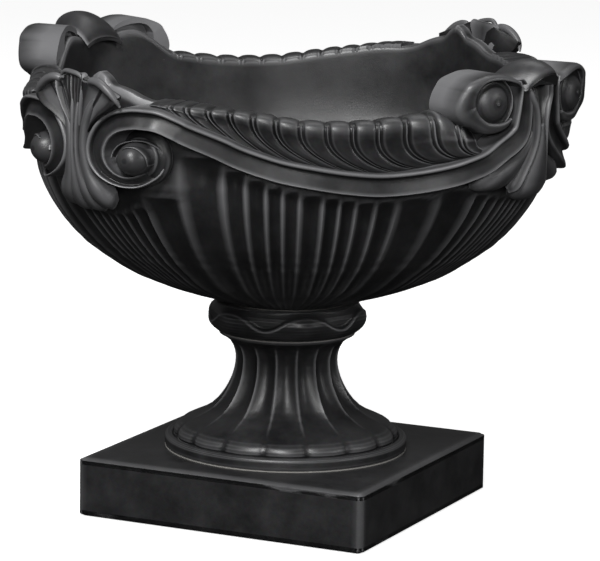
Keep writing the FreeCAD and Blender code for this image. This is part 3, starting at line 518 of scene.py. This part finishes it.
SNAIL = [
    (24.0, 33.5, 1.2, 28.0), (42.0, 29.2, 2.4, 32.0), (73.0, 24.8, 2.9, 34.0), (104.0, 24.7, 2.9, 35.5),
    (125.0, 26.1, 3.3, 36.5), (147.0, 28.2, 5.9, 37.5), (160.0, 28.6, 7.2, 37.0), (174.0, 29.2, 8.9, 36.5),
    (186.0, 29.6, 10.2, 36.0), (196.0, 28.6, 9.8, 36.0), (207.0, 26.6, 8.6, 35.0), (224.0, 24.2, 6.6, 33.5),
    (252.0, 23.6, 5.6, 32.0), (281.0, 23.8, 4.8, 30.5), (303.0, 25.4, 3.8, 29.0), (322.0, 27.0, 2.0, 27.0),
]
RELIEF_LINE = [
    (-34.1, 31.0), (-29.0, 33.8), (-25.7, 32.0), (-23.6, 29.5), (-18.3, 23.0), (-14.0, 18.0), (-7.0, 14.0),
    (0.0, 12.5), (14.0, 12.5), (21.0, 15.5), (27.0, 20.5), (30.5, 23.5), (33.7, 25.0),
]
COVE = [
    (-1.0, -0.2), (-1.0, 0.5), (-0.99, 0.80), (-0.96, 0.92), (-0.9, 0.965), (-0.82, 0.955), (-0.65, 0.90),
    (-0.45, 0.82), (-0.25, 0.745), (-0.05, 0.68), (0.12, 0.63), (0.28, 0.595), (0.40, 0.585), (0.49, 0.61),
    (0.535, 0.69), (0.56, 0.80), (0.60, 0.91), (0.67, 0.98), (0.77, 1.0), (0.87, 0.97), (0.94, 0.88),
    (0.985, 0.75), (1.0, 0.5), (1.0, -0.2), (-1.0, -0.2),
]
DOMED = [
    (-1.0, -0.2), (-1.0, 0.3), (-0.99, 0.5), (-0.93, 0.66), (-0.82, 0.78), (-0.64, 0.88), (-0.42, 0.95),
    (-0.2, 0.99), (0.0, 1.0), (0.2, 0.99), (0.42, 0.95), (0.62, 0.88), (0.78, 0.79), (0.9, 0.68), (0.97, 0.55),
    (1.0, 0.35), (1.0, -0.2), (-1.0, -0.2),
]
WHORL = [
    (-1.0, -0.2), (-1.0, 0.34), (-0.97, 0.52), (-0.88, 0.67), (-0.72, 0.79), (-0.5, 0.88), (-0.25, 0.94),
    (0.0, 0.97), (0.25, 0.99), (0.5, 1.0), (0.68, 0.995), (0.82, 0.975), (0.92, 0.93), (0.98, 0.85),
    (1.0, 0.7), (1.0, -0.2), (-1.0, -0.2),
]


def wall_frame(angle):
    """Directions along and out of the wall at an angle."""
    out = around(angle, 1000.0, 0)
    return Vector((-out.y, out.x, 0)), out


def coil(eye, stations):
    """Places round an eye as (angle, height, half width, relief)."""
    found = []
    for direction, distance, half, relief in stations:
        turn = math.radians(direction)
        angle = eye[0] + distance * math.cos(turn) / MM_PER_DEGREE
        found.append((angle, eye[1] + distance * math.sin(turn), half, relief))
    return found


def moulding(name, stations, section, steps):
    """A moulding swept along a line on the wall; its hollows are cut no deeper than CARVED."""
    line = [along_path(stations, k / steps) for k in range(steps + 1)]
    frames = []
    for k in range(steps + 1):
        before, after = line[max(k - 1, 0)], line[min(k + 1, steps)]
        run = Vector(((after[0] - before[0]) * MM_PER_DEGREE, 0, after[1] - before[1])).normalized()
        angle, height = line[k][0], line[k][1]
        along, out = wall_frame(angle)
        across = along * -run.z + Vector((0, 0, run.x))
        frames.append((around(angle, wall_at(angle), height), across, out))

    def put(u, v):
        k = round(v * steps)
        middle, across, out = frames[k]
        offset, off = straight_path(section, u)
        half, relief = line[k][2:]
        deep = min(relief, CARVED)
        off = relief - (1 - off) * deep if off > 0.5 else 2 * off * (relief - 0.5 * deep)
        return middle + (across * (offset * half) + out * off) / 1000.0

    return sheet(name, len(section) - 1, steps, put)


def dome(name, eye, profile):
    """A turned boss on the wall from (radius, height off the wall) pairs."""
    along, out = wall_frame(eye[0])
    middle = around(eye[0], wall_at(eye[0]), eye[1])

    def put(u, v):
        radius, off = along_path(profile, v)
        turn = 2 * math.pi * u
        ring = along * (radius * math.cos(turn)) + Vector((0, 0, radius * math.sin(turn)))
        return middle + (ring + out * off) / 1000.0

    return sheet(name, 48, 32, put)


def join(name, pieces):
    """Several meshes as one."""
    bpy.ops.object.select_all(action="DESELECT")
    for piece in pieces:
        piece.select_set(True)
    bpy.context.view_layer.objects.active = pieces[0]
    bpy.ops.object.join()
    pieces[0].name = name
    return pieces[0]


def on_side(piece, number, name):
    """A copy of a front-side piece on another side, mirrored on every second one."""
    made = piece.copy()
    made.data = piece.data.copy()
    made.name = name
    bpy.context.collection.objects.link(made)
    if number % 2:
        made.data.transform(Matrix.Scale(-1.0, 4, (1, 0, 0)))
        made.data.flip_normals()
    made.data.transform(Matrix.Rotation(math.radians(90.0 * number), 4, "Z"))
    return made


stations = coil(DOWN_EYE, DOWN_COIL)
for angle, height in BAND_LINE:
    half = 10.2 + 0.8 * min(max((angle + 30.0) / 14.0, 0.0), 1.0)
    stations.append((angle, height, half, between(RELIEF_LINE, angle)))
stations += coil(UP_EYE, UP_COIL)
band = close(moulding("cove", stations, COVE, 380))
shell = close(moulding("snail_shell", coil(SNAIL_EYE, SNAIL), WHORL, 140))
low_eye = close(dome("low_eye", DOWN_EYE, [
    (0.0, 37.5), (4.0, 37.0), (8.0, 35.0), (11.5, 31.5), (14.0, 27.0), (15.2, 22.0), (15.5, 15.0), (15.5, -3.0),
]))
low_disc = close(dome("low_disc", DOWN_EYE, [
    (0.0, 12.0), (16.0, 11.0), (20.0, 8.0), (24.0, 5.0), (27.0, 2.0), (27.5, -3.0),
]))
high_eye = close(dome("high_eye", SNAIL_EYE, [
    (0.0, 35.2), (1.2, 35.6), (2.6, 35.0), (7.0, 34.6), (11.0, 33.2), (14.0, 31.0), (16.6, 28.4), (19.0, 27.0),
    (21.5, 27.0), (24.0, 26.0), (25.0, -3.0),
]))
comma = close(moulding("comma", coil(DOWN_EYE, [
    (115.0, 11.0, 0.5, 33.0), (90.0, 12.2, 1.0, 33.0), (60.0, 13.4, 1.4, 32.0), (30.0, 14.4, 1.6, 30.5),
    (5.0, 15.4, 1.5, 29.0), (-18.0, 16.2, 0.8, 26.0),
]), DOMED, 40))
scroll = join("scroll", [band, shell, low_eye, low_disc, high_eye, comma])
for number, side in enumerate(SIDES):
    finish(on_side(scroll, number, "scroll_and_shell_" + side), "scroll_band_" + side, angle=45.0)
bpy.data.objects.remove(scroll)

# ---------------------------------------------------------------- the gadroon lips
# Between band and rim lies a row of leaning gadroons, each a swelling rib with a thin fillet beside it.
# They roll over the rim, so its top edge is scalloped. Each side's row is one casting, bonded on.
RIB_EDGES = [
    -31.5, -29.6, -27.4, -24.6, -20.8, -16.7, -12.2, -7.6, -2.6, 2.7, 7.9, 13.1, 18.6, 23.6, 27.9, 31.5,
]
RIB_STEPS = 20
LIP_ROWS = 60
RIB_MM_PER_DEGREE = 4.6
LIP_THICK = 15.2
FACE = 0.86
NEAR_SNAIL = 18.6
LIP_FACE = [
    (0.0, 5.0), (0.06, 7.0), (0.16, 8.2), (0.3, 8.6), (0.44, 9.0), (0.58, 10.2), (0.70, 11.8), (0.80, 12.6),
    (0.88, 12.0), (0.94, 10.0), (0.98, 6.8), (1.0, 3.0), (1.0, -2.0), (0.99, -7.0), (0.975, -11.0),
    (0.94, -14.2), (0.90, -LIP_THICK),
]
LEAN = [
    (-31.0, 1.0), (-25.0, 4.0), (-16.7, 7.5), (-12.2, 9.0), (-7.6, 10.0), (7.9, 10.0), (18.6, 8.5), (23.6, 7.0),
    (27.9, 4.5), (31.5, 2.5),
]
LIP_LIMIT = [(NEAR_SNAIL, 440.0), (23.0, 429.5), (26.0, 426.0), (29.0, 419.0), (32.0, 412.0), (34.0, 408.0)]


def put_lip(u, v):
    """A rib's face and roll up to the share FACE, then the lip's back, down to its foot again."""
    reach = u * (len(RIB_EDGES) - 1)
    k = min(int(reach + 1e-6), len(RIB_EDGES) - 2)
    part = min(max(reach - k, 0.0), 1.0)
    place = RIB_EDGES[k] + part * (RIB_EDGES[k + 1] - RIB_EDGES[k])
    width = (RIB_EDGES[k + 1] - RIB_EDGES[k]) * RIB_MM_PER_DEGREE
    ends = max(min(1.0, (place - RIB_EDGES[0]) / 4.0, (RIB_EDGES[-1] - place) / 3.0), 0.0)
    top = between(RIM, place)
    if place > NEAR_SNAIL:
        top = min(top, between(LIP_LIMIT, place))
    near = min(part, 1 - part)
    rib = 1 - (1 - min(near / 0.5, 1.0)) ** 2.6
    ease = min(max((place - 16.0) / 14.0, 0.0), 1.0)
    proud = 16.0 * ease * ease * (3 - 2 * ease) + 17.0 * min(max((-17.0 - place) / 12.0, 0.0), 1.0)
    if v > FACE:
        back = (v - FACE) / (1 - FACE)
        foot = put_lip(u, 0.0) * 1000.0
        inside = around(place, wall_at(place) - LIP_THICK, top - 8.0) * 1000.0
        inside.z += (min(foot.z, top - 9.0) - inside.z) * min(2 * back, 1.0)
        return (inside + (foot - inside) * max(2 * back - 1, 0.0)) / 1000.0
    share, off = along_path(LIP_FACE, v / FACE)
    angle = place + (between(LEAN, place) * (1 - share) ** 4 if off > 0 else 0.0)
    foot_height = min(lip_foot(angle), top - 2.0)
    fillet = math.exp(-(near * width / 0.9) ** 2)
    groove = math.exp(-((near * width - 2.0) / 1.0) ** 2)
    carve = -3.2 * (1 - rib) * min(width / 20.0, 1.0) - 1.3 * groove + 2.4 * fillet
    strength = min(share / 0.10, 1.0) * ends
    if off > 0:
        swell = proud * min(max(2.2 * (1 - share), 0.0), 1.0) ** 0.7
        off = off * (0.25 + 0.75 * ends) + carve * strength + swell
    else:
        off += 0.45 * carve * strength
    height = foot_height + share * (top - foot_height)
    if share > 0.85:
        height += (-2.6 * (1 - rib)) * (share - 0.85) / 0.15 * ends
    return around(angle, wall_at(angle) + off, height)


lip = close(sheet("lip", (len(RIB_EDGES) - 1) * RIB_STEPS, LIP_ROWS, put_lip))
for number, side in enumerate(SIDES):
    finish(on_side(lip, number, "gadroons_" + side), "gadroon_lip_" + side, angle=45.0)
bpy.data.objects.remove(lip)

# ---------------------------------------------------------------- the leaf clasps
# Bundles of acanthus leaves tie the scrolls together at the corners: strands gathered at the waist,
# spreading to a lobed foot below and to curling leaf tips above. Each is one casting, bonded on.
ROUNDED = [
    (-1.0, -1.2), (-1.0, 0.0), (-0.92, 0.42), (-0.75, 0.70), (-0.5, 0.9), (-0.25, 0.98), (0.0, 1.0),
    (0.25, 0.98), (0.5, 0.9), (0.75, 0.70), (0.92, 0.42), (1.0, 0.0), (1.0, -1.2), (-1.0, -1.2),
]
CUPPED = [
    (-1.0, -0.55), (-1.04, 0.35), (-1.0, 0.9), (-0.93, 1.0), (-0.84, 0.86), (-0.62, 0.42), (-0.36, 0.14),
    (-0.12, 0.06), (-0.06, 0.2), (0.0, 0.26), (0.06, 0.2), (0.12, 0.06), (0.36, 0.14), (0.62, 0.42),
    (0.84, 0.86), (0.93, 1.0), (1.0, 0.9), (1.04, 0.35), (1.0, -0.55), (0.5, -0.9), (0.0, -1.0), (-0.5, -0.9),
    (-1.0, -0.55),
]
ROUND = [(math.sin(math.radians(k * 22.5)), math.cos(math.radians(k * 22.5))) for k in range(17)]
VEINED = [
    (-1.0, -0.5), (-1.04, 0.3), (-1.0, 0.85), (-0.93, 1.0), (-0.84, 0.8), (-0.66, 0.42), (-0.56, 0.52),
    (-0.46, 0.36), (-0.36, 0.24), (-0.26, 0.4), (-0.16, 0.2), (-0.07, 0.24), (0.0, 0.46), (0.07, 0.24),
    (0.16, 0.2), (0.26, 0.4), (0.36, 0.24), (0.46, 0.36), (0.56, 0.52), (0.66, 0.42), (0.84, 0.8), (0.93, 1.0),
    (1.0, 0.85), (1.04, 0.3), (1.0, -0.5), (0.5, -0.9), (0.0, -1.0), (-0.5, -0.9), (-1.0, -0.5),
]


def strand(name, corner, points, section, steps=48, flat=False):
    """A leaf or rib swept up a corner; points are (across, height, radius, half width, thickness)."""
    side, out = wall_frame(corner)
    line = [along_path(points, k / steps) for k in range(steps + 1)]
    places = [side * point[0] + out * point[2] + Vector((0, 0, point[1])) for point in line]
    faces = []
    last = out
    for k in range(steps + 1):
        run = (places[min(k + 1, steps)] - places[max(k - 1, 0)]).normalized()
        face = (out - run * out.dot(run) if flat else side.cross(run)).normalized()
        if face.dot(last) < 0:
            face = -face
        last = face
        width = run.cross(face).normalized()
        if width.dot(side) < 0 and not flat:
            width = -width
        faces.append((face, width))

    def put(u, v):
        k = round(v * steps)
        face, width = faces[k]
        offset, off = straight_path(section, u)
        half, thick = line[k][3:]
        return (places[k] + width * (offset * half) + face * (off * thick)) / 1000.0

    return close(sheet(name, len(section) - 1, steps, put))


def mirrored(points):
    """A strand's points on the clasp's other half."""
    return [(-point[0],) + point[1:] for point in points]


def down_clasp(corner):
    """The clasp beside two downward scrolls: three fanned leaves over one gathered bundle."""
    outer = [
        (22.0, 336.0, 276.0, 4.0, 5.0), (21.0, 343.0, 286.0, 9.0, 8.0), (17.0, 353.0, 292.5, 9.0, 9.0),
        (11.5, 367.0, 296.5, 6.4, 8.0), (8.6, 385.0, 299.0, 4.9, 7.5), (8.4, 400.0, 300.0, 4.6, 7.0),
        (10.5, 415.0, 300.0, 4.4, 6.5), (15.5, 428.0, 299.5, 4.2, 6.0), (22.0, 438.0, 298.0, 2.5, 4.0),
    ]
    inner = [
        (8.0, 332.5, 272.0, 4.0, 5.0), (7.6, 339.0, 284.0, 8.5, 8.0), (6.0, 351.0, 292.0, 7.5, 9.0),
        (3.6, 366.0, 297.0, 4.4, 8.5), (2.4, 385.0, 300.0, 2.6, 8.0), (2.3, 400.0, 301.0, 2.5, 7.5),
        (2.6, 415.0, 302.0, 2.6, 6.5), (3.4, 428.0, 302.0, 2.4, 5.5), (4.4, 440.0, 302.0, 1.2, 3.0),
    ]
    fan = [
        (8.0, 404.0, 299.5, 3.4, 3.0), (12.0, 417.0, 300.5, 8.0, 4.5), (18.5, 429.0, 301.5, 13.5, 6.0),
        (26.0, 439.0, 302.0, 18.5, 7.0), (31.0, 446.0, 303.0, 20.5, 6.0), (32.5, 449.0, 304.0, 20.0, 3.0),
    ]
    roll = [
        (11.0, 444.0, 299.0, 1.0, 1.2), (15.0, 450.0, 303.0, 2.8, 3.0), (23.0, 454.0, 306.0, 3.8, 4.2),
        (33.0, 452.0, 306.5, 4.0, 4.4), (42.0, 446.0, 306.0, 3.6, 4.0), (48.5, 439.0, 304.0, 2.6, 3.0),
        (52.0, 432.0, 301.0, 1.0, 1.2),
    ]
    crest = [
        (-0.5, 404.0, 301.0, 3.4, 3.0), (-1.5, 418.0, 303.0, 8.0, 4.0), (-3.5, 432.0, 304.0, 13.0, 5.0),
        (-5.0, 445.0, 304.0, 17.0, 5.5), (-6.0, 455.0, 303.0, 18.0, 4.5), (-6.4, 458.5, 303.0, 16.0, 2.5),
    ]
    brow = [
        (-24.0, 446.0, 299.0, 0.8, 1.0), (-21.0, 453.0, 302.5, 1.8, 2.0), (-14.0, 460.0, 304.5, 2.2, 2.6),
        (-4.0, 460.0, 305.0, 2.3, 2.8), (5.0, 457.5, 304.5, 2.1, 2.4), (11.0, 452.0, 303.0, 1.7, 2.0),
        (14.0, 446.0, 300.0, 0.8, 1.0),
    ]
    ribs = (outer, mirrored(outer), inner, mirrored(inner))
    pieces = [strand("rib", corner, points, ROUNDED) for points in ribs]
    pieces += [strand("leaf", corner, points, CUPPED) for points in (fan, mirrored(fan))]
    pieces.append(strand("leaf", corner, crest, VEINED))
    pieces += [strand("roll", corner, points, ROUND, flat=True) for points in (roll, mirrored(roll), brow)]
    return join("clasp", pieces)


HOOD = [
    (250.0, 447.0, 26.0, 7.0, 4.0), (258.0, 458.0, 27.0, 11.0, 4.5), (268.0, 466.0, 27.5, 14.0, 5.0),
    (280.0, 470.3, 27.5, 16.5, 5.0), (292.0, 470.6, 26.5, 18.5, 4.5), (302.0, 468.0, 25.0, 19.0, 3.5),
    (309.0, 464.0, 23.5, 17.5, 2.4), (312.5, 460.0, 21.5, 14.0, 1.4),
]


def hood(corner):
    """A leaf like a barrel vault that rolls from the rim out over its clasp."""
    side, out = wall_frame(corner)

    def put(u, v):
        radius, crown, half, drop, thick = along_path(HOOD, v)
        sweep = 2 * u if u <= 0.5 else 2 - 2 * u
        share = 2 * sweep - 1
        height = crown - drop * abs(share) ** 2.3 - (thick if u > 0.5 else 0.0)
        back = 11.0 * share**2 * v
        return (side * (share * half) + out * (radius - back) + Vector((0, 0, height))) / 1000.0

    return close(sheet("hood", 48, 40, put))


def up_clasp(corner):
    """The clasp beside two upward scrolls: a lobed foot, a narrow waist and one hooded leaf."""
    lobe = [
        (5.0, 408.0, 296.0, 3.2, 4.0), (8.5, 394.0, 292.0, 5.5, 6.5), (17.0, 379.0, 285.0, 9.5, 9.0),
        (28.5, 367.5, 280.0, 13.0, 10.0), (40.0, 361.5, 276.0, 13.0, 9.5), (51.0, 359.0, 270.5, 10.0, 8.0),
        (58.0, 359.0, 264.0, 4.0, 5.0),
    ]
    edge = [
        (17.5, 447.0, 297.0, 2.0, 4.0), (13.5, 437.0, 298.5, 2.8, 5.5), (8.5, 426.0, 299.0, 2.8, 6.5),
        (6.2, 414.0, 298.5, 2.6, 7.0), (6.4, 400.0, 298.0, 2.4, 7.0), (9.0, 386.0, 296.0, 2.4, 7.0),
        (13.5, 372.0, 292.5, 2.2, 7.0), (19.0, 357.0, 288.0, 2.0, 6.5), (21.5, 351.0, 281.0, 1.0, 4.0),
    ]
    tongue = [
        (0.0, 412.0, 298.5, 4.2, 6.0), (0.0, 396.0, 298.0, 6.0, 7.5), (0.5, 380.0, 295.5, 10.5, 9.0),
        (1.0, 364.0, 291.5, 16.0, 10.5), (1.0, 354.0, 287.5, 18.5, 11.0), (1.0, 347.5, 280.0, 17.0, 9.0),
        (1.0, 344.5, 270.0, 10.0, 5.0),
    ]
    cup = [
        (0.0, 410.0, 298.0, 4.5, 5.0), (0.0, 422.0, 297.0, 6.5, 6.5), (0.0, 434.0, 293.5, 11.5, 8.5),
        (0.0, 446.0, 288.0, 17.0, 10.0), (0.0, 457.0, 280.0, 19.0, 9.0),
    ]
    pieces = [hood(corner)]
    pieces += [strand("lobe", corner, points, ROUNDED) for points in (lobe, mirrored(lobe))]
    pieces += [strand("rib", corner, points, ROUNDED) for points in (edge, mirrored(edge))]
    pieces.append(strand("tongue", corner, tongue, ROUNDED))
    pieces.append(strand("cup", corner, cup, CUPPED))
    return join("clasp", pieces)


for place, corner, maker in (
    ("front_left", -45.0, down_clasp), ("front_right", 45.0, up_clasp),
    ("back_right", 135.0, down_clasp), ("back_left", 225.0, up_clasp),
):
    clasp = maker(corner)
    clasp.name = "leaves_" + place
    finish(clasp, "leaf_clasp_" + place, angle=50.0)

# ---------------------------------------------------------------- bedding and the tie tube
# Pale grey compound fills the joints, squeezed level; zinc-plated tube, washers and nuts and a black
# rubber seal hold the castings together and let the water out.
MORTAR_CELLS = 300.0
SPANGLE_CELLS = 250.0
RUBBER_CELLS = 800.0


def plain_material(name, kind, cells, output):
    """A material with its Principled node and one texture of so many cells to the metre."""
    made = bpy.data.materials.new(name)
    made.use_nodes = True
    place = node(made.node_tree, "ShaderNodeTexCoord").outputs["Object"]
    texture = node(made.node_tree, kind, None, {"Vector": place, "Scale": cells})
    return made, made.node_tree, made.node_tree.nodes["Principled BSDF"], texture.outputs[output]


mortar, tree, paste, mottle = plain_material("jointing_compound", "ShaderNodeTexNoise", MORTAR_CELLS, "Fac")
mottle.node.inputs["Detail"].default_value = 4.0
shade = node(tree, "ShaderNodeValToRGB", None, {"Fac": mottle})
shade.color_ramp.elements[0].color = tint("6A6966")
shade.color_ramp.elements[1].color = tint("94928E")
tree.links.new(shade.outputs["Color"], paste.inputs["Base Color"])
paste.inputs["Roughness"].default_value = 0.85

zinc, tree, metal, spangle = plain_material(
    "zinc_plated_steel", "ShaderNodeTexVoronoi", SPANGLE_CELLS, "Distance",
)
tone = node(tree, "ShaderNodeMapRange", None, {"Value": spangle, "To Min": 0.28, "To Max": 0.46})
metal.inputs["Base Color"].default_value = tint("B9BDC0")
metal.inputs["Metallic"].default_value = 1.0
tree.links.new(tone.outputs["Result"], metal.inputs["Roughness"])

rubber, tree, soft_black, matt = plain_material("black_rubber", "ShaderNodeTexNoise", RUBBER_CELLS, "Fac")
rough = node(tree, "ShaderNodeMapRange", None, {"Value": matt, "To Min": 0.6, "To Max": 0.8})
soft_black.inputs["Base Color"].default_value = tint("1B1B1B")
tree.links.new(rough.outputs["Result"], soft_black.inputs["Roughness"])

for names, material in (
    (("plinth_bedding", "collar_bedding", "bowl_bedding"), mortar),
    (("drain_tie_tube", "lower_locknut", "lower_washer", "upper_washer", "upper_locknut"), zinc),
    (("seal_washer",), rubber),
):
    for name in names:
        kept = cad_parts[name]
        kept.data.materials.clear()
        kept.data.materials.append(material)
